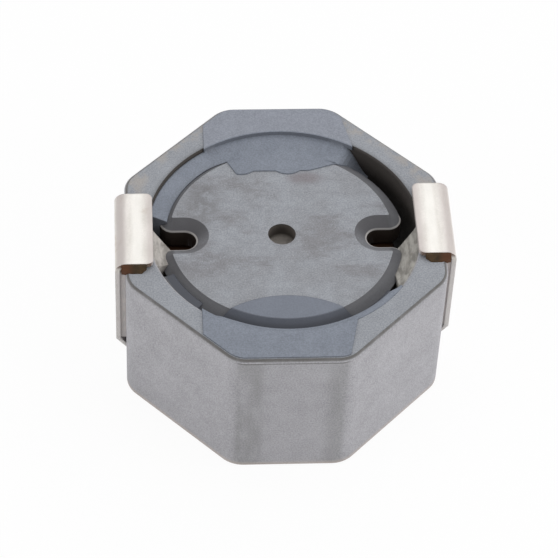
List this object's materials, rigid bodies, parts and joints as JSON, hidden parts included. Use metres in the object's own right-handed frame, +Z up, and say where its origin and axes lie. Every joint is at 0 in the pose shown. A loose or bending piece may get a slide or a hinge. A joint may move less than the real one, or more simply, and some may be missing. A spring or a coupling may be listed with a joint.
{
  "type": "shielded smd power inductor",
  "caption": "Shielded surface-mount power inductor: wound ferrite drum core glued in an octagonal ferrite sleeve, with folded tinned clips as solder terminals.",
  "frame": {"origin": "centre of the footprint on the board plane, under the middle of the body", "axes": "+Z up from the board, X through the two terminal clips, Y along the longer side of the body"},
  "size_m": [0.0104, 0.0104, 0.0052],
  "materials": {
    "sleeve_ferrite": "matt sintered ferrite, finely speckled",
    "drum_ferrite": "matt ground ferrite, mottled",
    "enamelled_wire": "enamelled copper, glossy",
    "tinned_strip": "satin tin plating",
    "core_resin": "smooth blue-grey epoxy, satin",
    "clip_adhesive": "brown epoxy",
    "notch_resin": "streaked beige resin",
    "solder": "satin solder"
  },
  "bodies": {
    "root": {"shield_core": "sleeve_ferrite", "drum_core": "drum_ferrite", "winding": "enamelled_wire", "terminal_clip_left": "tinned_strip", "terminal_clip_right": "tinned_strip", "core_resin_front": "core_resin", "core_resin_back": "core_resin", "clip_adhesive_left": "clip_adhesive", "clip_adhesive_right": "clip_adhesive", "notch_resin_left": "notch_resin", "notch_resin_right": "notch_resin", "solder_joint_left": "solder", "solder_joint_right": "solder"}
  },
  "joints": []
}
